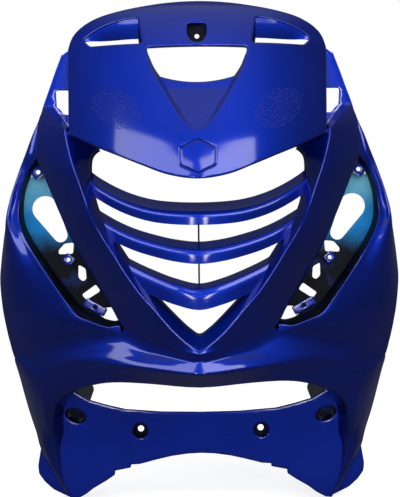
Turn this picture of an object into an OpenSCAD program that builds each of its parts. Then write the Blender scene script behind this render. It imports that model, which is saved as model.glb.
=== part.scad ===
// Scooter front cover: one moulded shell with nose panel, louvred grille, side pockets and arch panel.
// Right-hand half is x > 0, the front is -y, z is up. Lengths run from between the two lower bolt holes.

/* [Shell] */
// wall thickness of the moulding
wall = 2.8; // [2.2:0.1:3.6]
// how far the rear rim runs behind the bolt face
rim_back = 48; // [40:1:60]
// how far the rim leans inwards at its rear edge
rim_lean = 6; // [2:1:12]
// depth of the return behind the grille opening
grille_return = 26; // [20:1:34]

/* [Nose] */
// half width of the nose panel
nose_half = 139; // [137:0.5:141]
// how far the nose sides lie behind the middle
nose_sag = 64; // [54:1:70]
// depth of the pressed tongue above the emblem seat
inset_depth = 14; // [8:1:20]
// depth of the two air scoops
scoop_depth = 15; // [10:1:20]
// depth of the screw cup
cup_depth = 16; // [12:1:22]
// diameter of the screw hole in the cup
cup_hole_d = 5.2; // [3:0.2:6.4]
// width across corners of the plain hexagonal emblem seat
seat_w = 40; // [30:1:44]
// depth of the emblem seat line
seat_line = 0.8; // [0.4:0.1:1.2]

/* [Louvres] */
// thickness of a louvre
louvre_t = 2.8; // [2.2:0.1:3.6]
// height of the front face of the first louvre
louvre_face_1 = 12.5; // [9:0.5:14]
// height of the front face of the second louvre
louvre_face_2 = 14; // [10:0.5:16]
// height of the front face of the third louvre
louvre_face_3 = 20; // [14:0.5:22]
// width of the upright rib behind the louvres
rib_w = 1.8; // [1.4:0.1:3]

/* [Side pockets] */
// position of the pocket back wall behind the bolt face
pocket_back = 19; // [14:1:26]
// radius of the large round of the keyhole window
key_r = 14.5; // [11:0.5:16]
// radius of the small round of the keyhole window
key_r2 = 8; // [6:0.5:9]
// diameter of the small bolt holes in the pocket brackets
lug_hole_d = 4; // [3:0.2:5]

/* [Lower panel] */
// distance between the two bolt holes
bolt_spacing = 135; // [120:1:144]
// diameter of a bolt hole
bolt_hole_d = 7.2; // [5:0.2:9]
// diameter of the counterbore
counterbore_d = 16; // [14:0.5:19]
// outer diameter of a bolt boss
boss_d = 22; // [21:0.5:26]
// depth of a bolt boss behind the panel face
boss_len = 20; // [12:1:26]
// thickness of the boss floor under the bolt head
boss_floor = 3; // [2:0.5:5]
// outer diameter of a slanted tube
tube_d = 19; // [17:0.5:22]
// bore of a slanted tube
tube_bore = 13.5; // [10:0.5:14.5]

/* [Hidden] */

bolt_x = bolt_spacing / 2;
// points put between two of an outline
grain = 1;

// outlines, each a list of points on the right-hand half
shoulder_and_arm_a = [
    [138.9, -86, 327.6], [137.0, -90, 318], [132.0, -97, 299.8], [126.0, -104, 281.7],
    [118.7, -110, 261.9], [108.8, -118, 235.0], [98.2, -123, 215.7], [84.7, -128, 194.4],
    [71.9, -132, 174.4], [59.1, -136, 156.9], [46.0, -139, 142.6], [28.9, -142, 122.8],
    [13.9, -144, 109.0], [0, -145, 101.1]];
arm_outer_e = [
    [168.3, -20, 359.7], [172.7, -36, 342.6], [173.3, -48, 322.0], [172.1, -54, 300.4],
    [161.8, -62, 275.9], [146.5, -74, 241.4], [134.1, -82, 215.0], [122.5, -87, 193.5],
    [111.3, -91, 175.4], [100.5, -95, 157.9], [89.9, -99, 140.9], [77.1, -104, 121.3],
    [43.7, -122, 101.9], [0, -143, 94.1]];
grille_b = [
    [104.4, -74, 308.0], [108.0, -74, 305.8], [112.3, -74, 300.4], [113.5, -77, 290.8],
    [111.7, -86, 274.5], [105.1, -97, 247.0], [94.6, -104, 227.2], [80.9, -110, 205.6],
    [67.3, -115, 185.2], [52.8, -119, 166.9], [37.5, -123, 148.8], [19.2, -126, 129.8],
    [9.1, -127, 120.7], [0, -128, 115.3]];

chin_k = [
    [204.5, -13, 83.0], [188, -32, 77.5], [173.5, -46, 76.4], [154.0, -66, 80.7], [135.3, -80, 86.1],
    [114, -95, 88.4], [93.5, -105, 85.3], [70, -118, 83], [46.4, -128, 81.0], [22, -135.5, 78.8],
    [0, -138, 77.5]];
pocket_p_in = [
    [173.3, -12, 344.4], [174.9, -20, 320.1], [175.4, -28, 304.1], [185.2, -21.5, 291.5],
    [192.5, -22, 273.9], [195.6, -24, 256.3], [195.1, -32, 236.2], [187.0, -46, 216.5],
    [171.4, -62, 191.8], [156.5, -70, 170.7], [141.0, -77, 149.9], [128.2, -83, 134.8],
    [114.5, -90, 128.6], [96.1, -98, 122.9], [82.0, -101, 124.0], [64.0, -107.5, 117],
    [43.0, -118, 108], [21.0, -130, 102.5], [0, -140, 99]];
pocket_p_out = [
    [174.2, -10, 346.1], [179.9, -15, 323.8], [182.6, -20, 306.9], [190.0, -15.5, 291.9],
    [197.2, -16, 274.2], [201.0, -18, 256.5], [204.2, -26, 237.0], [194.1, -42, 217.7],
    [178.3, -58, 191.8], [165.5, -66, 171.8], [148.6, -74, 150.8], [133.0, -82, 133.4],
    [116.7, -89, 123.9], [97.7, -97, 118.7], [80.4, -103, 116.0], [62.0, -111, 109.0],
    [44.0, -121, 100.5], [21.0, -133.5, 95.5], [0, -142, 92]];

lip_i = [
    [0, -118, 61.1], [50.3, -108, 64.1], [90, -97, 64.8], [117, -82, 59.5], [136, -67, 51.5],
    [149, -56.5, 42], [156, -47, 32], [158.6, -30, 16], [158.1, -8, -3], [157, -1, -22], [154, 1, -45],
    [147.5, 3, -66], [143, 4, -74]];

rim_line = [
    [150.8, -6, 419.1], [158.0, -8, 399.4], [164.3, -9, 381.2], [170.7, -10, 363.1],
    [176.2, -10, 345.4], [184.0, -10, 327.7], [190.6, -10, 310.0], [197.3, -10, 292.2],
    [202.5, -12, 274.4], [207.7, -14, 256.6], [211.2, -16, 236.6], [214.2, -18, 216.8],
    [217.2, -20, 190.4], [218.9, -20, 168.4], [216.7, -20, 142.0], [213.7, -18, 122.0],
    [209.6, -16, 102.1], [204.5, -13, 83.0], [198.0, -5, 52.3], [191.8, 2, 24.5],
    [184.8, 8, -1.0], [180.0, 10, -20.3], [169.0, 12, -43.1], [156.7, 12, -63.5],
    [149.9, 12, -72.5]];

nose_x = [0, 30, 58, 82, 102, 116, 127, 133.5, 137];
nose_top = [467, 465.6, 461.8, 457.8, 453, 447.2, 439.2, 430.2, 418];
nose_low = [270.6, 275, 285.8, 296, 304.6, 311.5, 317, 320.2, 321.7];
nose_z = [262, 271, 285, 300, 318, 345, 372, 400, 414, 428, 440, 449, 455, 460, 467];
nose_y = [-172, -171, -167, -161.5, -154, -141, -127.5, -113, -105.5, -97, -88.5, -81, -75, -68.5, -56];

inset_edge = [
    [52.2, 410.3], [47.7, 392.3], [42.5, 380.4], [34.1, 363.9], [23.9, 345.9],
    [12, 328.6], [0, 319.4]];
scoop_top = [[62.2, 446], [76, 445.2], [90, 442.4], [103, 437.8], [114, 431.8], [121, 426.2]];
scoop_low = [[57.6, 423.6], [73, 423.4], [88, 423.4], [101, 423.6], [111, 424], [118, 424.4]];
cup_edge = [
    [-9.5, 436], [9.5, 436], [9.8, 424], [6, 416], [0, 414.2], [-6, 416], [-9.8, 424]];

louvre_x = [0, 24, 45, 65, 84, 103, 113];
louvre_up = [
    [249.5, 250.3, 252.9, 258.4, 266.5, 277.5, 285],
    [209.6, 212.2, 217.2, 223.5, 232, 243, 250],
    [167.1, 172.5, 180.5, 189.5, 200, 212, 219]];
louvre_y = [
    [-125, -123, -117.5, -110, -101, -89, -80],
    [-125, -123, -117.5, -110, -101, -89, -80],
    [-125, -123, -117.5, -110, -101, -89, -80]];
louvre_n = [6, 5, 4];
louvre_face = [louvre_face_1, louvre_face_2, louvre_face_3];
louvre_drop = [11, 8.5, 6];

function nrm(v) = norm(v) < 0.000001 ? [0, 0, 0] : v / norm(v);
function spl(a, b, c, d, t) =
    0.5 * (2 * b + (c - a) * t + (2 * a - 5 * b + 4 * c - d) * t * t + (3 * b - a - 3 * c + d) * t * t * t);
function at(p, u) =
    let (n = len(p) - 1, i = min(n - 1, floor(u)))
    spl(p[max(0, i - 1)], p[i], p[i + 1], p[min(n, i + 2)], u - i);
function curve(p, m) = [for (k = [0:(len(p) - 1) * m]) at(p, k / m)];
function lift(p, d) = [for (q = p) q + d];
function rear(p, y) = [for (q = p) [q[0], y, q[2]]];
function between(a, b, t, d) = [for (i = [0:len(a) - 1]) a[i] + (b[i] - a[i]) * t + d * 4 * t * (1 - t)];
function part_of(p, a, b) = [for (i = [a:b]) p[i]];

// a grid is a list of columns, each a list of points; turned into stations by rows
function rows(c) = [for (i = [0:len(c[0]) - 1]) [for (j = [0:len(c) - 1]) c[j][i]]];
function flip(p) = [-p[0], p[1], p[2]];
function both(g) = concat(g, [for (i = [len(g) - 2:-1:0]) [for (p = g[i]) flip(p)]]);
function corner(g, i, j, di, dj) =
    (i + di < 0 || i + di >= len(g) || j + dj < 0 || j + dj >= len(g[0])) ? [0, 0, 0] :
    di * dj * nrm(cross(g[i + di][j] - g[i][j], g[i][j + dj] - g[i][j]));
function corners(g, i, j) =
    [corner(g, i, j, 1, 1), corner(g, i, j, 1, -1), corner(g, i, j, -1, 1), corner(g, i, j, -1, -1)];
function mitre(n, q) = min([for (v = q) norm(v) < 0.5 ? 1 : n * v]);
function inner(g, i, j, t) =
    let (q = corners(g, i, j), n = nrm(q[0] + q[1] + q[2] + q[3]))
    g[i][j] - n * t / max(0.62, mitre(n, q));

// closed sheet of thickness t behind the grid; a negative t puts it on the other side
module sheet(g, t = wall) {
    n = len(g);
    m = len(g[0]);
    k = n * m;
    pts = concat(
        [for (i = [0:n - 1]) for (j = [0:m - 1]) g[i][j]],
        [for (i = [0:n - 1]) for (j = [0:m - 1]) inner(g, i, j, t)]);
    quads = concat(
        [for (i = [0:n - 2]) for (j = [0:m - 2]) [i * m + j, i * m + j + 1, i * m + m + j + 1, i * m + m + j]],
        [for (i = [0:n - 2]) for (j = [0:m - 2])
            [k + i * m + j, k + i * m + m + j, k + i * m + m + j + 1, k + i * m + j + 1]],
        [for (i = [0:n - 2]) [i * m, i * m + m, k + i * m + m, k + i * m]],
        [for (i = [0:n - 2]) [i * m + m - 1, k + i * m + m - 1, k + i * m + 2 * m - 1, i * m + 2 * m - 1]],
        [for (j = [0:m - 2]) [j, k + j, k + j + 1, j + 1]],
        [for (j = [0:m - 2]) [k - m + j, k - m + j + 1, 2 * k - m + j + 1, 2 * k - m + j]]);
    tris = [for (q = quads) each [[q[0], q[1], q[2]], [q[0], q[2], q[3]]]];
    polyhedron(pts, t > 0 ? tris : [for (f = tris) [f[2], f[1], f[0]]], convexity = 12);
}

// a plate in the xz plane from y0 back to y1
module plate(pts, y0, y1) {
    translate([0, y1, 0])
    rotate([90, 0, 0])
    linear_extrude(y1 - y0)
    polygon(pts);
}

module pair() {
    children();
    mirror([1, 0, 0])
    children();
}

// nose surface: depth as a function of x and z
function nose_mid(z) = -lookup(-z, [for (i = [0:len(nose_z) - 1]) [-nose_z[i], -nose_y[i]]]);
function nose_at(x, z) = nose_mid(z) + nose_sag * pow(abs(x) / 134, 2) * (0.8 + 0.2 * (460 - z) / 190);
function nose_p(x, z) = [x, nose_at(x, z), z];
function nose_row(i) =
    let (
        x = nose_x[i] * nose_half / 137,
        a = nose_top[i],
        b = nose_low[i],
        s = [0, 0.05, 0.13, 0.26, 0.45, 0.72, 1])
    concat(
        [nose_p(x, a) + [0, 20, 0]],
        [for (v = s) nose_p(x * (1 - 0.036 * v), a + (b - a) * v)]);
function nose_wall() =
    let (r = nose_row(len(nose_x) - 1))
    [for (p = r) [p[0] - 1.5, -5, min(p[2], 418)]];
function nose_grid() =
    let (h = [for (i = [len(nose_x) - 1:-1:0]) nose_row(i)])
    both(concat([nose_wall()], h));

module nose_skin() {
    sheet(nose_grid(), wall);
}

function inset_line(m) = curve([for (p = inset_edge) [p[0], 0, p[1]]], m);
function press(z) = inset_depth * min(1, max(0, (z - 319.4) / 46));
function on_nose(p, d) = [p[0], nose_at(p[0], p[2]) + d, p[2]];

function floor_half(v) = lookup(v, [[0, 41], [0.12, 37.8], [0.3, 32.8], [0.5, 27], [0.7, 20], [0.88, 12.8], [1, 5]]);

module inset_cut() {
    e = inset_line(grain);
    pts = concat([for (p = e) [p[0], p[2]]], [for (i = [len(e) - 2:-1:0]) [-e[i][0], e[i][2]]], [[0, 406.4]]);
    plate(pts, -200, -60);
}

// walls reach 1 mm into each opening and are trimmed by its cut
module inset_walls() {
    e = inset_line(grain);
    w = [for (p = e) [on_nose([p[0] - 1, 0, p[2]], 1.1), on_nose([p[0] - 1, 0, p[2]], press(p[2]) + 3.4)]];
    sheet(both(concat(w)), -wall);
    t = [for (s = [-1:0.5:1]) [s * 51, 0, 405.6 + 3.9 * abs(s)]];
    sheet([for (p = t) [on_nose(p, 1.1), on_nose(p, 9)]], -wall);
}

module inset_floor() {
    f = [for (v = [0, 0.15, 0.4, 0.7, 1])
        let (k = floor_half(v))
        [for (s = [-1, -0.5, 0, 0.5, 1])
            let (z = 372.4 + (318 - 372.4) * v + 6 * s * s * (1 - v))
            on_nose([s * k, 0, z], press(z) + 0.5)]];
    sheet(f, wall * 0.8);
}

module scoop_cut() {
    pts = concat(scoop_top, [[119, 423.6], [113.4, 417.6], [57.4, 415.4]]);
    plate(pts, -200, -30);
}

module scoop_walls() {
    w = [for (v = [-0.08, 0.5, 1, 1.5])
        let (x = 63.2 - 4.6 * v, z = 446 - 22.3 * v)
        [on_nose([x, 0, z], 1.1), on_nose([x, 0, z], 4.4 + scoop_depth * min(1, max(0, v)))]];
    sheet(w, wall);
    u = [for (i = [0:2])
        let (x = 55.4 + 29 * i, z = 416.4 + 1.1 * i)
        [on_nose([x, 0, z], 1.1), on_nose([x, 0, z], 7)]];
    sheet(u, wall);
}

module scoop_floor() {
    n = len(scoop_top) - 1;
    deep = [1, 1, 0.95, 0.75, 0.4, 0.05];
    f = [for (i = [0:n])
        [for (v = [-0.12, 0.1, 0.5, 1])
            let (
                a = scoop_top[i] + (i == 0 ? [-1.6, 0] : i == n ? [2, -0.5] : [0.9, 0.7]),
                b = scoop_low[i] + (i == 0 ? [-1.6, 0] : i == n ? [2, 0] : [0.9, 0]),
                x = a[0] + (b[0] - a[0]) * v,
                z = a[1] + (b[1] - a[1]) * v)
            on_nose([x, 0, z], 1.4 + scoop_depth * max(0, v) * deep[i])]];
    sheet(f, -wall * 0.8);
}

module cup_cut() {
    plate(cup_edge, -200, -60);
}

module cup_walls() {
    y = nose_at(0, 425) + cup_depth;
    e = [for (i = [0:len(cup_edge)]) cup_edge[i % len(cup_edge)] * 0.92 + [0, 34]];
    sheet([for (p = e) [on_nose([p[0], 0, p[1]], 1.1), [p[0], y, p[1]]]], -wall);
}

module cup_floor() {
    y = nose_at(0, 425) + cup_depth;
    plate([for (p = cup_edge) p * 1.08 + [0, -34]], y - 2.4, y - 0.6);
}

// line of the plain hexagonal emblem seat, cut into the nose
module seat_cut() {
    c = 293;
    h = [for (i = [0:6]) [sin(60 * i), 0.86 * cos(60 * i)]];
    for (i = [0:5]) {
        a = h[i];
        b = h[i + 1];
        g = [for (t = [0, 1])
            let (
                q = a + (b - a) * t,
                r = seat_w / 2)
            [
                on_nose([q[0] * r, 0, c + q[1] * r], -1.5),
                on_nose([q[0] * (r - 1.3), 0, c + q[1] * (r - 1.3)], -1.5)]];
        sheet(g, 1.5 + seat_line);
    }
}

// arm from the shoulder to the chin, with the return into the grille opening
function arm_cols() =
    let (
        a = curve(shoulder_and_arm_a, grain),
        e = curve(arm_outer_e, grain),
        b = curve(grille_b, grain))
    [
        lift(b, [0, grille_return, 0]),
        b,
        a,
        between(a, e, 0.5, [0, -3, 0]),
        e];

module arm_skin() {
    sheet(both(rows(arm_cols())), wall);
}

module arm_outer_wall() {
    e = part_of(curve(arm_outer_e, grain), 0, 11 * grain);
    sheet(rows([e, rear(e, pocket_back + 1)]), wall);
}

// pale upper face of the shoulder and the roof under the nose
module shoulder_cap() {
    lo = [[167.6, -19.2, 359.2], [162.6, -39.2, 350.4], [155.6, -56.2, 340.4], [147.6, -72, 332.8], [138.1, -85, 326.8]];
    hi = [[169.0, -10, 362.6], [164, -13, 362], [158, -22, 358], [148, -42, 347], [137, -62, 333]];
    sheet(rows([lo, hi, rear(hi, -5)]), -wall);
    a0 = [[136.2, -83.2, 324.9], [127, -80, 320], [116, -76, 313.5], [105.6, -73, 307.9]];
    n0 = [nose_p(130.4, 321), nose_p(120, 315), nose_p(108, 308.6), nose_p(97.7, 303.6)];
    sheet(rows([lift(n0, [-0.5, 1.5, 1.2]), lift(a0, [-0.6, 2.2, -1])]), wall);
}

// side panel, the edge of the pocket and the chin
function side_cols() =
    let (
        p = curve(pocket_p_in, grain),
        q = curve(pocket_p_out, grain),
        s = concat(part_of(curve(rim_line, grain), 4 * grain, 17 * grain), [for (k = [1:5 * grain]) chin_k[k * 2 / grain]]),
        d = [for (i = [0:len(s) - 1]) let (u = i / (len(s) - 1)) [2, -9, 1] * max(0, sin(180 * u))])
    [
        p,
        q,
        [for (i = [0:len(q) - 1]) q[i] + (s[i] - q[i]) * 0.35 + d[i] * 0.8],
        [for (i = [0:len(q) - 1]) q[i] + (s[i] - q[i]) * 0.72 + d[i] * 0.9],
        s];

module side_skin() {
    sheet(both(rows(side_cols())), wall);
}

module pocket_outer_wall() {
    p = part_of(curve(pocket_p_in, grain), grain, 14 * grain);
    b = [for (q = p) [q[0] + 1.5, pocket_back + 1, q[2] - 1]];
    sheet(rows([p, b]), -wall);
}

module pocket_plate() {
    y = pocket_back;
    pts = [
        [176, 318], [186, 306], [190, 292], [198, 275], [200.5, 256], [199, 236], [191, 214], [175, 189],
        [145, 147], [131, 131], [116, 124.5], [82, 117], [76, 122], [99, 159], [121, 195], [133, 217],
        [145, 243], [170, 301]];
    difference() {
        plate(pts, y, y + wall * 0.9);
        hull() {
            translate([173.5, y, 249])
            rotate([90, 0, 0])
            cylinder(h = 30, r = key_r, center = true, $fn = 20);
            translate([156.5, y, 219])
            rotate([90, 0, 0])
            cylinder(h = 30, r = key_r2, center = true, $fn = 16);
        }
        plate([[156.8, 201], [146, 212.5], [140, 206], [143, 196]], y - 10, y + 10);
        plate([[136.5, 185.5], [128.5, 181], [127.5, 169], [132, 166.5], [136.8, 171]], y - 10, y + 10);
        plate([[131.6, 148.6], [126, 143], [112.5, 153.4], [117.4, 160.6]], y - 10, y + 10);
        plate([[114.6, 136.4], [110, 128.6], [94, 122], [90, 126], [101, 130]], y - 10, y + 10);
        plate([[190.5, 304], [182, 301], [181, 292], [176, 296], [178, 308]], y - 10, y + 10);
    }
}

// brackets standing in the pocket
module lug(p, w, h, turn, d) {
    translate(p)
    rotate([0, turn, 0])
    difference() {
        translate([-w / 2, 0, -h / 2])
        cube([w, 2.8, h]);
        rotate([90, 0, 0])
        cylinder(h = 12, d = d, center = true, $fn = 13);
    }
}

module pocket_lugs() {
    lug([180.5, 3, 289.6], 15, 13, 40, lug_hole_d);
    plate([[174, 303], [177, 303], [177, 279], [174, 279]], -4, pocket_back + 1);
    lug([112, 2, 138.5], 30, 12, -30, lug_hole_d + 1);
    plate([[99, 147], [127, 131], [125.6, 128.6], [97.6, 144.6]], 4, pocket_back + 1);
    lug([150, 2, 196], 19, 15, -40, lug_hole_d);
    plate([[141, 209], [150, 203], [148.6, 201], [139.6, 207]], 0, pocket_back + 1);
    plate([[133, 192], [136, 190], [128, 160], [124.5, 162]], 0, pocket_back + 1);
}

module rim_skin() {
    s = curve(rim_line, grain);
    n = len(s) - 1;
    b = [for (i = [0:n])
        let (u = min(1, i / n * 2.6))
        [s[i][0] - rim_lean * u, 6 + (rim_back - 6) * u * u * (3 - 2 * u) - 16 * pow(i / n, 3), s[i][2]]];
    sheet(rows([lift(s, [-0.5, 0.9, 0]), b]), wall);
}

// plate joining the nose sides to the rim, with its notch
module wing_plate() {
    difference() {
        plate([
            [133, 424], [141, 424], [148.9, 418.5], [156.1, 399], [162.4, 381], [168.7, 363.6],
            [174.2, 346.2], [181.2, 329.5], [178, 320], [168, 322], [136, 322], [133, 340]], -8.3, -5.4);
        plate([[157, 379], [156, 360], [152.6, 358.5], [148, 352], [139.5, 352], [139.5, 379]], -20, 10);
    }
}

// lip under the chin running on into the leg and foot
module leg_skin() {
    i = curve(lip_i, grain);
    o = concat([for (k = [5 * grain:-1:0]) chin_k[k * 2 / grain]], part_of(curve(rim_line, grain), 17 * grain + 1, 24 * grain));
    n = len(i) - 1;
    m = side_cols()[3];
    tuck = concat(
        [for (k = [0:5 * grain]) let (j = 5 * grain - k) o[k] + nrm(m[13 * grain + j] - o[k]) * 4 + [0, 1.5, 0]],
        [for (k = [5 * grain + 1:n]) o[k] + [-1.5, 3.5, 0]]);
    d = [for (k = [0:n]) let (u = max(0, k / n - 0.25) / 0.75) [1, -13, 0] * sin(180 * pow(u, 0.9))];
    c = [
        tuck,
        o,
        [for (k = [0:n]) o[k] + (i[k] - o[k]) * 0.35 + d[k] * 0.9],
        [for (k = [0:n]) o[k] + (i[k] - o[k]) * 0.75 + d[k] * 0.9],
        i];
    g = rows(c);
    h = concat([for (k = [n:-1:1]) [for (p = g[k]) flip(p)]], g);
    sheet(h, -wall);
    w = part_of(i, 3 * grain, 8 * grain);
    b = [for (p = w) [p[0] - 3, 2.2, p[2] - 0.5]];
    pair()
    sheet(rows([w, b]), -wall);
}

module lower_panel() {
    half = [
        [0, 20.4], [44, 21.2], [84, 24.3], [105, 29.3], [123, 34.6], [135, 41.5], [141, 46], [150, 42],
        [157, 32], [163, 10], [163.5, -10], [161.2, -28], [156.7, -49], [150.6, -66], [145.3, -76], [138.5, -75.4],
        [128.4, -70], [119.5, -63.3], [106, -55.5], [96, -48.8], [96, -44.4], [78.2, -41], [78.2, -37.7],
        [68, -37.1], [50, -32.5], [33.5, -28.7], [16, -26.2], [0, -25.4]];
    plate(half, 0, wall);
    mirror([1, 0, 0])
    plate(half, 0, wall);
    pair() {
        plate([
            [150, -18], [182, -22], [185.5, -43], [184.5, -52], [178, -61], [168, -70], [149, -79.5],
            [143, -72]], 28, 28 + wall);
        plate([[143, -72], [148, -79.5], [151, -77], [147, -68]], 0, 30);
        translate([bolt_x, 0, 0])
        rotate([-90, 0, 0])
        cylinder(h = boss_len, d = boss_d, $fn = 20);
        tube_body();
    }
}

module tube_place() {
    translate([139, 0, 18])
    rotate([-68, 0, 6])
    children();
}

module tube_body() {
    difference() {
        tube_place()
        cylinder(h = 62, d = tube_d, $fn = 18);
        plate([[120, 0], [160, 0], [160, 60], [120, 60]], -30, 0);
    }
}

module louvre(k) {
    n = louvre_n[k];
    x = [for (i = [0:n]) louvre_x[i]];
    f = louvre_face[k];
    drop = louvre_drop[k];
    up = curve([for (i = [0:n]) [x[i], louvre_y[k][i] + 2, louvre_up[k][i]]], grain);
    c = [
        lift(up, [0, 8, 0]),
        lift(up, [0, -12.5, -drop + 1]),
        lift(up, [0, -15.5, -drop - f * 0.3]),
        lift(up, [0, -15, -drop - f])];
    g = rows(c);
    m = len(g) - 1;
    sheet(concat([for (i = [m:-1:1]) [for (p = g[i]) flip(p)]], g), -louvre_t);
}

module louvres() {
    for (k = [0:2])
        louvre(k);
    translate([0, -117, 206])
    cube([rib_w, 6, 82], center = true);
}

module shell_union() {
    difference() {
        union() {
            nose_skin();
            inset_walls();
            pair()
            scoop_walls();
            cup_walls();
        }
        inset_cut();
        pair()
        scoop_cut();
        cup_cut();
        seat_cut();
    }
    inset_floor();
    pair()
    scoop_floor();
    cup_floor();
    arm_skin();
    side_skin();
    leg_skin();
    lower_panel();
    louvres();
    pair() {
        arm_outer_wall();
        shoulder_cap();
        pocket_outer_wall();
        pocket_plate();
        pocket_lugs();
        rim_skin();
        wing_plate();
    }
}

module bolt_cut(s) {
    translate([s * bolt_x, -2, 0])
    rotate([-90, 0, 0])
    cylinder(h = boss_len - boss_floor + 2, d = counterbore_d, $fn = 40);
    translate([s * bolt_x, 0, 0])
    rotate([-90, 0, 0])
    cylinder(h = boss_len + 5, d = bolt_hole_d, $fn = 32);
}

// the origin lies at the rear face of the bolt bosses
module front_shield() {
    color([0.04, 0.09, 0.5])
    translate([0, -boss_len, 0])
    difference() {
        resize([0, 0, 0])
        difference() {
            shell_union();
            pair()
            tube_place()
            translate([0, 0, -30])
            cylinder(h = 84, d = tube_bore, $fn = 18);
            translate([0, nose_at(0, 425) + cup_depth, 424])
            rotate([90, 0, 0])
            cylinder(h = 20, d = cup_hole_d, center = true, $fn = 14);
            pair()
            plate([[200.4, 249.4], [203.8, 249.4], [203.8, 255], [200.4, 255]], -40, 12);
        }
        bolt_cut(-1);
        bolt_cut(1);
    }
}

front_shield();
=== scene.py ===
import bpy
import math
import numpy as np
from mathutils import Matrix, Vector
from mathutils.geometry import delaunay_2d_cdt


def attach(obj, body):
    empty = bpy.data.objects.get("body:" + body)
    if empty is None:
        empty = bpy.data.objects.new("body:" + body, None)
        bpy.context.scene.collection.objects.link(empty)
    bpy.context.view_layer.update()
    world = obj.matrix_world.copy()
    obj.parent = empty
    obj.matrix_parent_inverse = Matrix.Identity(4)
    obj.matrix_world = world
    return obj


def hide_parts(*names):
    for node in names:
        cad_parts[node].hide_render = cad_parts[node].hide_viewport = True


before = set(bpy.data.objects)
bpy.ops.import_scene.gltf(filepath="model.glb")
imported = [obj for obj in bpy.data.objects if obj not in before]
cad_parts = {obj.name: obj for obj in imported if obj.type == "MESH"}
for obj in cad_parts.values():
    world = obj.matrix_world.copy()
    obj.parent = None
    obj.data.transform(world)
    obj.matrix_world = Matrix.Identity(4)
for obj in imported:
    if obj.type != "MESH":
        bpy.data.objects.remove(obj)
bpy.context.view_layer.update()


# Painted finish.
# The cover is one ABS moulding sprayed in deep metallic blue under clear lacquer. Lacquer and flake are
# thick on the front faces, and thin to dark primer in the pockets and behind the openings. The blue carries
# painted light that makes it brighter towards the top, and the pale mist high in the pockets is partly
# overspray and partly painted light shining through from behind.
class Val:
    """A shader socket that Python arithmetic works on."""

    def __init__(self, tree, out):
        self.tree = tree
        self.out = out

    def make(self, kind, settings, inputs, out=0):
        n = self.tree.nodes.new(kind)
        for k, v in settings.items():
            setattr(n, k, v)
        for k, v in inputs.items():
            if isinstance(v, Val):
                self.tree.links.new(v.out, n.inputs[k])
            else:
                n.inputs[k].default_value = v
        return Val(self.tree, n.outputs[out] if len(n.outputs) else None)

    def math(self, op, *args):
        return self.make("ShaderNodeMath", {"operation": op}, dict(enumerate((self,) + args)))

    def __add__(self, o):
        return self.math("ADD", o)

    __radd__ = __add__

    def __sub__(self, o):
        return self.math("SUBTRACT", o)

    def __rsub__(self, o):
        return (self * -1.0) + o

    def __mul__(self, o):
        return self.math("MULTIPLY", o)

    __rmul__ = __mul__

    def step(self, a, b):
        s = {"interpolation_type": "SMOOTHSTEP", "clamp": True}
        return self.make("ShaderNodeMapRange", s, {0: self, 1: a, 2: b, 3: 0.0, 4: 1.0})

    def blend(self, a, b):
        return self.make("ShaderNodeMix", {"data_type": "RGBA"}, {0: self, 6: a, 7: b}, 2)


def material(name):
    m = bpy.data.materials.new(name)
    m.use_nodes = True
    m.node_tree.nodes.clear()
    seed = Val(m.node_tree, None)
    place = seed.make("ShaderNodeTexCoord", {}, {}, 3)
    return m, seed, place


def noise(place, scale, detail=3.0, rough=0.5):
    ins = {"Vector": place, "Scale": scale, "Detail": detail, "Roughness": rough}
    return place.make("ShaderNodeTexNoise", {}, ins)


def grained(place, strength, distance, height):
    return place.make("ShaderNodeBump", {}, {"Strength": strength, "Distance": distance, "Height": height})


def axes(place):
    return [place.make("ShaderNodeSeparateXYZ", {}, {0: place}, k) for k in range(3)]


def shade(seed, base, rough, metal, coat, normal=None, coat_rough=0.06, specular=0.5):
    ins = {
        "Base Color": base, "Roughness": rough, "Metallic": metal, "Coat Weight": coat,
        "Coat Roughness": coat_rough, "Coat IOR": 1.5, "Specular IOR Level": specular}
    if normal is not None:
        ins["Normal"] = normal
    b = seed.make("ShaderNodeBsdfPrincipled", {}, ins)
    seed.make("ShaderNodeOutputMaterial", {}, {"Surface": b})


FLAKE_SCALE = 2600.0
LACQUER_ROUGH = 0.1


def paint(name, deep, bright, metal, rough):
    """Metal flake under lacquer with a trace of orange peel, made a little brighter towards the top as painted light.
    """
    m, seed, place = material(name)
    flake = place.make("ShaderNodeTexVoronoi", {}, {"Vector": place, "Scale": FLAKE_SCALE}, 1)
    spark = axes(flake)[0]
    cloud = noise(place, 9.0, 2.0)
    peel = noise(place, 420.0, 2.0)
    z = axes(place)[2]
    # Cloud and flake vary the tone at random; the step on height is painted light that brightens the upper faces.
    tone_and_top_light = (cloud.step(0.3, 0.7) * 0.25 + spark * 0.35 + 0.35) + z.step(0.05, 0.34) * 0.2
    bump = grained(place, 0.05, 0.0002, peel + spark * 0.4)
    shade(seed, tone_and_top_light.blend(deep, bright), spark * 0.06 + rough, metal, 1.0, bump, LACQUER_ROUGH)
    return m


BLUE = paint("metallic_blue", (0.0004, 0.006, 0.13, 1.0), (0.0011, 0.028, 0.46, 1.0), 0.96, 0.48)


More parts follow.
